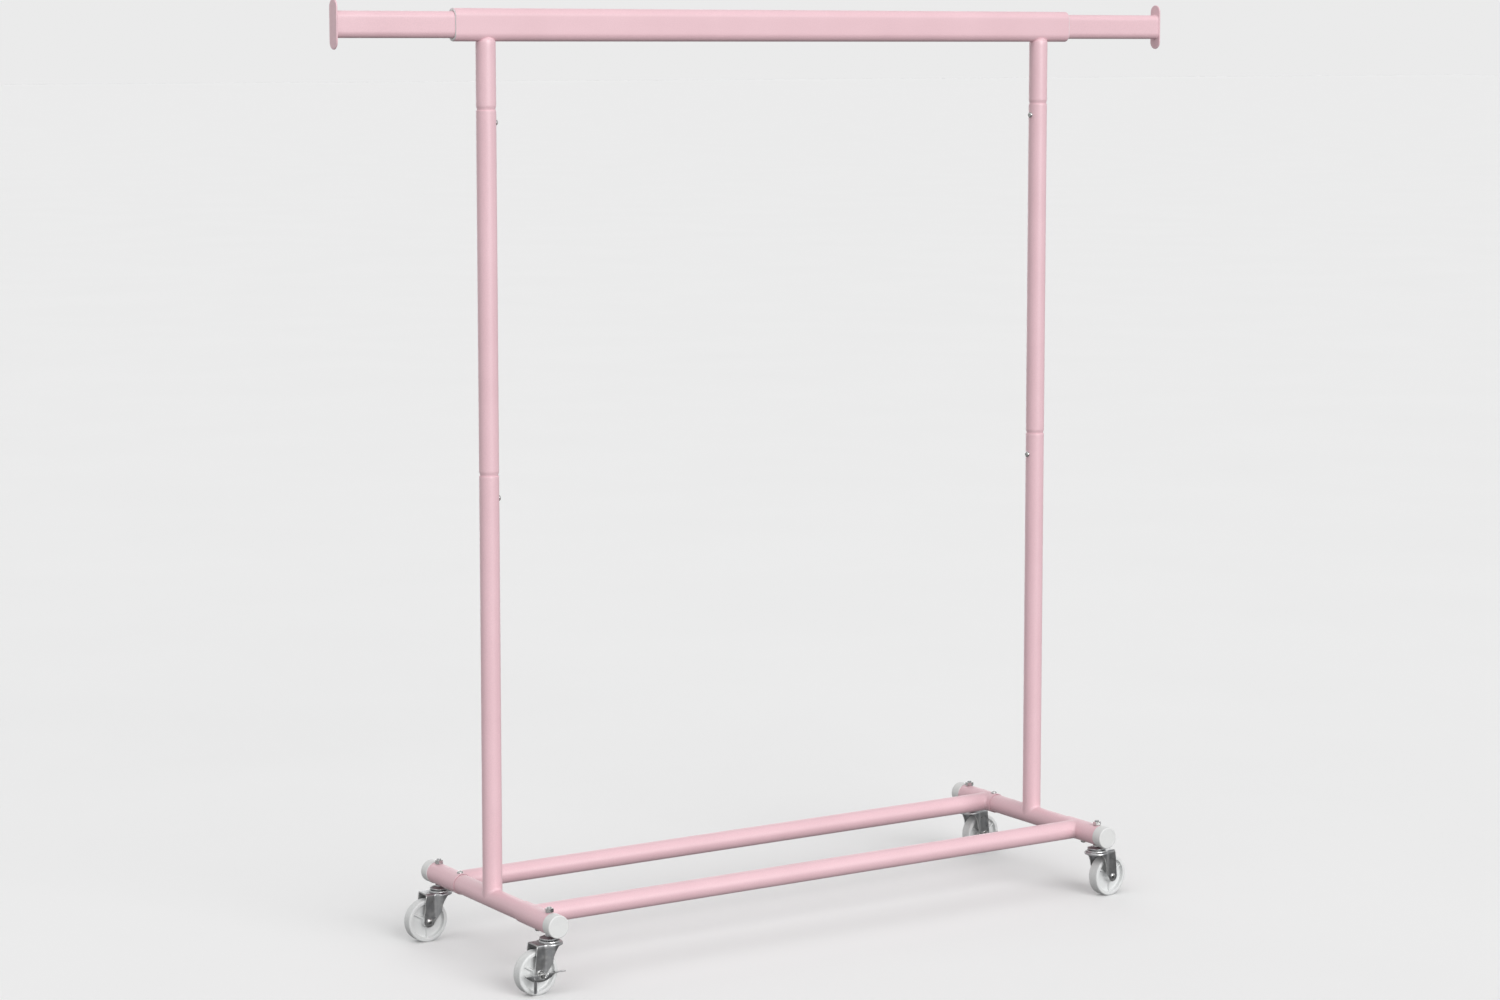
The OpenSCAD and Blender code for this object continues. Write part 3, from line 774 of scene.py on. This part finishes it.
def nut():
    """Hexagon nut with chamfered corners and a chamfered bore, seated at z = 0."""
    flats, height, bore, count = 13.0, 6.8, 4.05, 96
    angles = around(count)

    def corner_ring(inset, z_of):
        ring = []
        for a in angles:
            r = hexagon_radius(a, flats) - inset
            ring.append((r * math.cos(a), r * math.sin(a), z_of(r + inset - flats / 2)))
        return ring

    slope = math.tan(math.radians(30))
    rings = [
        circle(bore, 0.5, count), circle(bore, height - 0.6, count), circle(bore + 0.6, height, count),
        circle(flats / 2 - 0.35, height, count),
        corner_ring(0.12, lambda d: height - 0.08 - d * slope * 1.5),
        corner_ring(0.0, lambda d: height - 0.25 - d * slope * 1.5),
        corner_ring(0.0, lambda d: 0.25 + d * slope),
        corner_ring(0.12, lambda d: 0.08 + d * slope),
        circle(flats / 2 - 0.35, 0, count), circle(bore + 0.5, 0, count),
    ]
    return Shape().skin(rings, loop=True)


def caster_nuts():
    group = Shape()
    for k, (side, depth, _, _) in enumerate(CORNERS.values()):
        group.add(nut(), moved(side * UPRIGHT_X, depth * CASTER_Y, NUT_SEAT_Z) @ turned(17 + 23 * k))
    return group


def caster_stem(corner):
    """Threaded stem, with a riveted lower end and a domed head that has the ball groove under it."""
    count = 72
    bottom, top, under = 79.1, NUT_SEAT_Z + 9.0, 88.1
    edge = math.asin((under - BALL_Z) / GROOVE_R)
    groove = [
        (BALL_PITCH_R + GROOVE_R * math.cos(a), BALL_Z + GROOVE_R * math.sin(a))
        for a in spaced(math.pi - edge, edge, 12)
    ]
    lower = [(0, bottom), (5.0, bottom), (6.5, 81.5), (4.0, 81.5), (4.0, under)]
    upper = [
        (16.6, under), (16.6, 90.1), (9.6, 92.5), (6.5, 92.5), (6.5, 95.5), (4.0, 95.8), (4.0, 118.0)
    ]
    radii = [0, 1.2, 0.5, 0, 0] + [0] * len(groove) + [0.2, 1.2, 1.4, 1.0, 0.3, 0, 0]
    body = rounded(lower + groove + upper, radii, closed=False, steps=6)
    rings = [circle(r, z, count) for r, z in supported(body, closed=False)]
    pitch, steps, runout = 1.25, 8, 0.35
    z = 119.0
    while z < top - runout:
        fade = min(1.0, (top - runout - z) / 0.9)
        ring = []
        for a in around(count):
            wave = 0.5 + 0.5 * math.cos(math.tau * z / pitch - a)
            r = 3.98 - 0.42 * (1 - wave) - (1 - fade) * 0.45
            ring.append((r * math.cos(a), r * math.sin(a), z))
        rings.append(ring)
        z += pitch / steps
    rings += [circle(3.1, top - 0.12, count), circle(2.6, top, count), [(0, 0, top)]]
    return Shape().add(Shape().skin(rings), at_caster(corner))


def fork_low(x):
    """Lower edge of the fork's side at x from the axle: round end, leading edge, arch, front lip."""
    knots = [(8.6, -5.1), (10.6, -1.6), (13.5, 3.3), (21.0, 17.0)]
    arch_x, arch_z, arch_r, lip = 58.0, 16.0, 37.0, 43.0
    if x <= knots[0][0]:
        return -math.sqrt(max(FORK_END_R ** 2 - x * x, 0.0))
    for (x0, z0), (x1, z1) in zip(knots, knots[1:]):
        if x <= x1:
            return lerp(z0, z1, (x - x0) / (x1 - x0))
    arch = arch_z + math.sqrt(max(arch_r ** 2 - (arch_x - x) ** 2, 0.0))
    return min(max(arch, knots[-1][1]), lip)


def fork_path():
    """The fork seen from above: points from one tail round the crown to the other, with their normals."""
    crease_r = 9.0
    crease_y = FORK_OUT + crease_r
    crease_x = TRAIL - math.sqrt((CROWN_R + crease_r) ** 2 - crease_y ** 2)
    path = []
    for i in range(34):
        x = -FORK_END_R * math.cos(math.pi * 0.5 * i / 33)
        path.append((x, FORK_OUT, 0.0, 1.0))
    for x in spaced(0.6, crease_x - 0.4, 12):
        path.append((x, FORK_OUT, 0.0, 1.0))
    meet = math.atan2(crease_y, crease_x - TRAIL)
    for i in range(13):
        a = lerp(-math.pi / 2, meet - math.pi, i / 12)
        c, s = math.cos(a), math.sin(a)
        path.append((crease_x + crease_r * c, crease_y + crease_r * s, -c, -s))
    for i in range(1, 61):
        a = lerp(meet, 0.0, i / 60)
        path.append((TRAIL + CROWN_R * math.cos(a), CROWN_R * math.sin(a), math.cos(a), math.sin(a)))
    return path + [(x, -y, nx, -ny) for x, y, nx, ny in reversed(path[:-1])]


def caster_fork():
    """Pressed fork: flat tail panels, a crease, a round crown, and a rounded bend up to the top plate."""
    top, bend = FORK_TOP - AXLE_Z, 3.6
    tail, tail_slope = -5.6, 10.6
    rows = 12
    path = fork_path()
    sheet = Shape()
    columns = []
    for x, y, _, _ in path:
        high = min(0.6 + (x + FORK_END_R) * tail_slope, top - bend)
        low = fork_low(x)
        columns.append([(x, y, lerp(low, high, k / rows)) for k in range(rows + 1)])
    sheet.skin(columns, open_rings=True)
    bends = []
    for x, y, nx, ny in (p for p in path if p[0] >= tail):
        column = []
        for k in range(7):
            a = math.pi / 2 * k / 6
            inset = bend * (1 - math.cos(a))
            column.append((x - nx * inset, y - ny * inset, top - bend + bend * math.sin(a)))
        bends.append(column)
    sheet.skin(bends, open_rings=True)
    rim = [column[-1] for column in bends]
    middle = len(rim) // 2
    across = []
    for i in range(middle):
        a, b = Vector(rim[i]), Vector(rim[-1 - i])
        across.append([a.lerp(b, t) for t in (0, 0.06, 0.5, 0.94, 1)])
    across.append([Vector(rim[middle])] * 5)
    sheet.skin(across, open_rings=True)
    return sheet


def raised_race():
    profile = [(6.0, 84.1), (17.8, 84.1), (17.3, 86.6), (15.6, 86.9), (14.8, 86.2), (6.0, 86.2)]
    return revolve(profile, 84, radii=[0, 0, 0.8, 0.4, 0.4, 0.3])


def fork_piece(corner):
    """The sheet is thickened inwards and its edges are broken before the race ring joins it."""
    sheet = thick_sheet(caster_fork(), FORK_T, 0.42, strips=True)
    fork = Shape().add(sheet, at_axle(corner)).add(raised_race(), at_caster(corner))
    return stand_for("caster_fork_" + corner, fork, "zinc_steel", sharp=45)


def axle(corner):
    """Riveted axle; on a braked caster one end is a flat eye that holds the brake pin."""
    brake = CORNERS[corner][3]
    count = 60
    body = Shape()
    face = FORK_OUT
    dome = [(4.06, face - 3), (4.06, face), (5.25, face)]
    for degrees in range(0, 90, 9):
        a = math.radians(degrees)
        dome.append((5.25 * math.cos(a), face + 0.25 + 2.15 * math.sin(a)))
    dome.append((0, face + 2.4))
    shaft = Shape().skin([circle(3.98, -face + 1, count), circle(3.98, face - 1, count)], caps=(True, True))
    body.add(shaft)
    for s in (-1, 1):
        if s != brake:
            rings = [circle(r, z, count) for r, z in dome]
            body.add(Shape().skin(rings, caps=(True, False)), flipped(z=s))
    if brake:
        outline = [(3.9, face), (6.2, face), (6.2, face + 1.3), (3.9, face + 1.3)]
        washer = revolve(outline, count, radii=[0, 0, 0.5, 0.3])
        body.add(washer, flipped(z=brake))
        eye, reach = 3.5, face + 5.0
        stations = [(face - 2, eye), (reach, eye)]
        for k in range(1, 9):
            a = math.pi / 2 * k / 8
            stations.append((reach + 2.55 * math.sin(a), max(eye * math.cos(a), 0.6)))
        rings = [[(p[0], p[1], y) for p in rounded_rectangle(2.3, half, 0.5, 4)] for y, half in stations]
        body.add(Shape().skin(rings, caps=(True, True)), flipped(z=brake))
    return Shape().add(body, at_axle(corner) @ ALONG_Y)


def wheel(corner):
    """Moulded wheel: rounded tread, deep faces, three ribs on each side and a long hub."""
    half, hub = WHEEL_W / 2, 12.4
    outline = [
        (4.06, -hub), (10, -hub), (10.4, -3.5), (29.0, -3.5), (30.3, -half), (WHEEL_R, -half),
        (WHEEL_R, half), (30.3, half), (29.0, 3.5), (10.4, 3.5), (10, hub), (4.06, hub),
    ]
    body = revolve(outline, 120, radii=[0.4, 0.9, 2.0, 2.6, 0.8, 2.4, 2.4, 0.8, 2.6, 2.0, 0.9, 0.4], steps=5)
    side = [(-1.5, 7.6), (1.5, 7.6), (1.5, 5.0), (2.6, 3.4), (2.6, -3.4), (1.5, -5.0)]
    side += [(-p[0], -p[1]) for p in side]
    section = rounded(side, [0.6, 0.6, 1.6, 0, 0, 1.6, 0.6, 0.6, 1.6, 0, 0, 1.6])
    for i in range(3):
        rings = [[(r, p[0], p[1]) for p in section] for r in (9.6, 30.0)]
        rib = Shape().skin(rings, caps=(True, True))
        body.add(rib, turned(90 + 120 * i))
    return Shape().add(body, at_axle(corner) @ ALONG_Y)


# ---------- brakes ----------


def tray_bottom(x):
    return TRAY_R - TRAY_DROP - math.sqrt(TRAY_R ** 2 - (x - TRAY_X) ** 2)


def wall_top(x):
    """Upper edge of the lever's outer wall: a round scoop at the axle and ends that taper away."""
    top = WALL_TOP - 1.2 * max(0.0, (abs(x - TRAY_X) - WALL_FLAT) / TAPER) ** 2
    if abs(x) < SCOOP_R - 0.1:
        scoop = SCOOP_Z - math.sqrt(SCOOP_R ** 2 - x * x)
        blend = max(1.2 - abs(top - scoop), 0.0) / 1.2
        top = min(top, scoop) - blend * blend * 0.3
    return max(top, tray_bottom(x) + 0.7)


def lever_sheet():
    """Lower and outer surface of the pressed lever, from its inner edge round to the top of the wall."""
    outer_y, inner_y = 23.8, 17.6
    columns = []
    for degrees in range(-90, 91, 2):
        x = TRAY_X + TRAY_HALF * math.sin(math.radians(degrees))
        bottom, top = tray_bottom(x), wall_top(x)
        r = min(2.2, 0.8 * (top - bottom))
        column = [(x, lerp(inner_y, outer_y - r, t), bottom) for t in (0, 0.3, 0.7, 1)]
        for k in range(1, 7):
            a = math.pi / 2 * k / 6
            column.append((x, outer_y - r + r * math.sin(a), bottom + r - r * math.cos(a)))
        column += [(x, outer_y, lerp(bottom + r, top, t)) for t in (0.5, 1)]
        columns.append(column)
    return Shape().skin(columns, open_rings=True)


def lever_tongue():
    """Tongue at one end of the lever: waisted, then wide and rounded at its tip."""
    stations = [
        (20.0, 2.3, -0.2), (24.5, 2.3, 0.5), (29.0, 1.9, 0.7), (33.0, 2.1, 0.9), (36.5, 3.0, 1.1),
        (40.0, 3.7, 1.0), (42.2, 3.6, 0.8), (43.1, 3.0, 0.7), (43.5, 2.2, 0.7),
    ]
    rings = []
    for x, half_w, z in stations:
        thin = 0.68 if x < 43.3 else 0.4
        rings.append([(x, 20.9 + p[0], z + p[1] - 0.3) for p in rounded_rectangle(half_w, thin, 0.3, 3)])
    return Shape().skin(rings, caps=(True, True))


def hanging_bar():
    """Folded bar that hangs below the lever, with a rivet head at its top."""
    rings = []
    for z, narrow in ((-2.0, 0.78), (-2.35, 0.92), (-3.0, 1.0), (-27.6, 1.0), (-28.6, 0.9), (-29.0, 0.72)):
        rings.append([(BRAKE_BAR_X + p[0] * narrow, p[1], z) for p in channel_section()])
    bar = Shape().skin(rings, caps=(True, True))
    rivet = revolve([(0.85, 23.0), (2.1, 23.0), (2.1, 24.0), (0.85, 24.0)], 36, radii=[0, 0, 0.4, 0.3])
    return bar.add(rivet, moved(BRAKE_BAR_X, 0, -5.2) @ ALONG_Y)


def lever_ears():
    """Two ears that turn on the pin. They have no bore, because the pin fills it."""
    outline = [(18.0, -10.0)]
    for degrees in range(170, -1, -10):
        a = math.radians(degrees)
        outline.append((PIN_Y + EAR_R * math.cos(a), EAR_R * math.sin(a)))
    outline += [(22.4, -4.0), (23.3, -10.0)]
    ears = Shape()
    for s in (-1, 1):
        near, far = s * EAR_X - EAR_T / 2, s * EAR_X + EAR_T / 2
        rings = [[(x, y, z) for y, z in outline] for x in (near, far)]
        ears.add(Shape().skin(rings, caps=(True, True)))
    return ears


def brake_lever():
    """Side brake lever, drawn on the +Y side of the wheel round the axle."""
    lever = Shape().add(thick_sheet(lever_sheet(), LEVER_T, 0.35))
    for part in (lever_tongue(), hanging_bar(), lever_ears()):
        lever.add(part)
    return lever


def channel_section():
    """Folded bar: a web with two edges turned outwards."""
    outline = [(-2.8, 22.3), (2.8, 22.3), (2.8, 24.0), (1.6, 24.0)]
    outline += [(1.3, 23.1), (-1.3, 23.1), (-1.6, 24.0), (-2.8, 24.0)]
    return rounded(outline, [0.4, 0.4, 0.3, 0.3, 0.4, 0.4, 0.3, 0.3], steps=3)


def lever_piece(corner):
    brake = CORNERS[corner][3]
    place = at_axle(corner) @ flipped(x=-1 if brake > 0 else 1, y=brake)
    return stand_for("brake_lever_" + corner, Shape().add(brake_lever(), place), "zinc_steel", sharp=40)


def brake_pin(corner):
    brake = CORNERS[corner][3]
    half = 7.5
    profile = [(0, -half), (1.3, -half), (1.3, half), (0, half)]
    pin = revolve(profile, 36, closed=False, radii=[0, 0.5, 0.5, 0])
    return Shape().add(pin, at_caster(corner) @ moved(-TRAIL, brake * PIN_Y, AXLE_Z) @ ALONG_X)


# ---------- the assembly ----------

stand_for("rail_sleeve", rail_sleeve(), "pink_coat")
for name, side in SIDES.items():
    stand_for("rail_stub_" + name, rail_stub(side), "pink_coat")
    stand_for("upright_mid_" + name, upright_mid(side), "pink_coat")
    stand_for("upright_lower_" + name, upright_lower(side), "pink_coat")
    stand_for("foot_tube_" + name, foot_tube(side), "pink_coat")
    stand_for("rail_bush_" + name, rail_bush(side), "white_plastic")
    stand_for("rail_rod_" + name, rail_rod(side), "pink_coat")
    stand_for("end_plate_" + name, end_plate(side), "pink_coat")
for name, depth in DEPTHS.items():
    stand_for("base_bar_" + name, base_bar(depth), "pink_coat")
stand_for("upright_screws", upright_screws(), "bright_steel")
stand_for("foot_screws", foot_screws(), "bright_steel")
stand_for("caster_nuts", caster_nuts(), "bright_steel", sharp=25)
for corner, (side, depth, _, brake) in CORNERS.items():
    stand_for("corner_sleeve_" + corner, corner_sleeve(side, depth), "pink_coat")
    stand_for("end_cap_" + corner, end_cap(side, depth), "white_plastic")
    stand_for("caster_stem_" + corner, caster_stem(corner), "zinc_steel")
    fork_piece(corner)
    stand_for("axle_" + corner, axle(corner), "bright_steel")
    tyre = stand_for("wheel_" + corner, wheel(corner), "nylon")
    centre = at_axle(corner).translation * MM
    tread = tyre.data.attributes.new("tread", "FLOAT", "POINT")
    for i, vertex in enumerate(tyre.data.vertices):
        reach = (vertex.co - centre).length
        tread.data[i].value = min(max((reach - TREAD_START * MM) / (TREAD_FADE * MM), 0.0), 1.0)
    if brake:
        lever_piece(corner)
        stand_for("brake_pin_" + corner, brake_pin(corner), "bright_steel")

# Inner pieces keep their CAD shapes and get the finish of their slot
KEPT = {"upright_thread_inserts": "bright_steel", "foot_thread_inserts": "bright_steel"}
KEPT.update({"rod_guide_" + name: "white_plastic" for name in SIDES})
KEPT.update({"swivel_balls_" + corner: "bright_steel" for corner in CORNERS})
for node, slot in KEPT.items():
    item = frame["nodes"][node]
    for holder in item.material_slots:
        holder.material = FINISHES[slot]

# ---------- floor, light and camera ----------


HORIZON = 0.83
# Below the horizon the studio is darkest in this direction, which the flat fork panels mirror
DARK_SIDE = (0.54, -0.84, 0.0)
SIDE_LIGHT = (0.40, 0.90, 1.75, 0.35)
BELOW_HORIZON = (-0.14, -0.05, 1.0, 0.0)
# Brightness of the studio at each sine of the height above the horizon
SKY = [
    (-1.0, 0.09), (-0.50, 0.14), (-0.20, 0.28), (-0.035, 0.34), (-0.018, HORIZON), (0.16, HORIZON),
    (0.30, 0.45), (0.70, 0.42), (0.90, 0.55),
]
CAMERA_PLACE = (-3.16454, -4.84389, 1.53050)
CAMERA_TILT, CAMERA_HEADING = -6.069, -32.706
LENS, LENS_SHIFT = 80.458, -0.066


def floor():
    f = Finish("floor")
    tone = f.ramp(f.noise(1.3, 3), [(0.3, (0.905, 0.905, 0.905)), (0.7, (0.915, 0.915, 0.915))])
    material = f.shade(Base_Color=tone, Roughness=0.9, Specular_IOR_Level=0.0)
    mesh = bpy.data.meshes.new("floor")
    size = 120.0
    corners = [(-size, -size, 0), (size, -size, 0), (size, size, 0), (-size, size, 0)]
    mesh.from_pydata(corners, [], [(0, 1, 2, 3)])
    mesh.materials.append(material)
    plane = bpy.data.objects.new("floor", mesh)
    bpy.context.scene.collection.objects.link(plane)
    plane.visible_diffuse = False
    plane.visible_glossy = False
    plane.visible_transmission = False


def mapped(tree, source, limits, kind="LINEAR"):
    """The source mapped from one range to another: from low, from high, to low, to high."""
    node = tree.nodes.new("ShaderNodeMapRange")
    node.interpolation_type = kind
    tree.links.new(source, node.inputs["Value"])
    for socket, value in zip(("From Min", "From Max", "To Min", "To Max"), limits):
        node.inputs[socket].default_value = value
    return node.outputs["Result"]


def world():
    """A pale studio: as bright as the floor at the horizon, softer overhead and dim below."""
    setting = bpy.data.worlds.new("studio")
    bpy.context.scene.world = setting
    setting.use_nodes = True
    tree = setting.node_tree
    tree.nodes.clear()
    coords = tree.nodes.new("ShaderNodeTexCoord")
    split = tree.nodes.new("ShaderNodeSeparateXYZ")
    tree.links.new(coords.outputs["Generated"], split.inputs[0])
    height = mapped(tree, split.outputs["Z"], (-1.0, 1.0, 0.0, 1.0))
    ramp = tree.nodes.new("ShaderNodeValToRGB")
    tree.links.new(height, ramp.inputs["Fac"])
    elements = ramp.color_ramp.elements
    while len(elements) < len(SKY):
        elements.new(0.5)
    for element, (z, value) in zip(elements, SKY):
        element.position = 0.5 + 0.5 * z
        element.color = (value, value, value, 1)
    background = tree.nodes.new("ShaderNodeBackground")
    tree.links.new(ramp.outputs["Color"], background.inputs["Color"])
    toward = tree.nodes.new("ShaderNodeVectorMath")
    toward.operation = "DOT_PRODUCT"
    toward.inputs[1].default_value = DARK_SIDE
    tree.links.new(coords.outputs["Generated"], toward.inputs[0])
    dark = mapped(tree, toward.outputs["Value"], SIDE_LIGHT, "SMOOTHSTEP")
    below = mapped(tree, split.outputs["Z"], BELOW_HORIZON)
    blend = tree.nodes.new("ShaderNodeMix")
    tree.links.new(below, blend.inputs[0])
    blend.inputs[2].default_value = 1.0
    tree.links.new(dark, blend.inputs[3])
    tree.links.new(blend.outputs[0], background.inputs["Strength"])
    output = tree.nodes.new("ShaderNodeOutputWorld")
    tree.links.new(background.outputs[0], output.inputs[0])


def sun(name, direction, strength, angle):
    data = bpy.data.lights.new(name, "SUN")
    data.energy = strength
    data.angle = math.radians(angle)
    lamp = bpy.data.objects.new(name, data)
    lamp.rotation_euler = (-Vector(direction)).to_track_quat("-Z", "Y").to_euler()
    bpy.context.scene.collection.objects.link(lamp)


floor()
world()
sun("key", (0.05, -1.0, 0.40), 2.05, 45)
sun("fill", (-0.60, -0.20, 0.90), 0.50, 50)
sun("back", (0.30, 1.0, 0.25), 0.60, 60)

lens = bpy.data.cameras.new("camera")
lens.lens = LENS
lens.sensor_width = 36.0
lens.shift_y = LENS_SHIFT
lens.clip_end = 400.0
camera = bpy.data.objects.new("camera", lens)
camera.location = CAMERA_PLACE
camera.rotation_euler = (math.radians(90 + CAMERA_TILT), 0, math.radians(CAMERA_HEADING))
bpy.context.scene.collection.objects.link(camera)
bpy.context.scene.camera = camera
bpy.context.scene.view_settings.view_transform = "Standard"
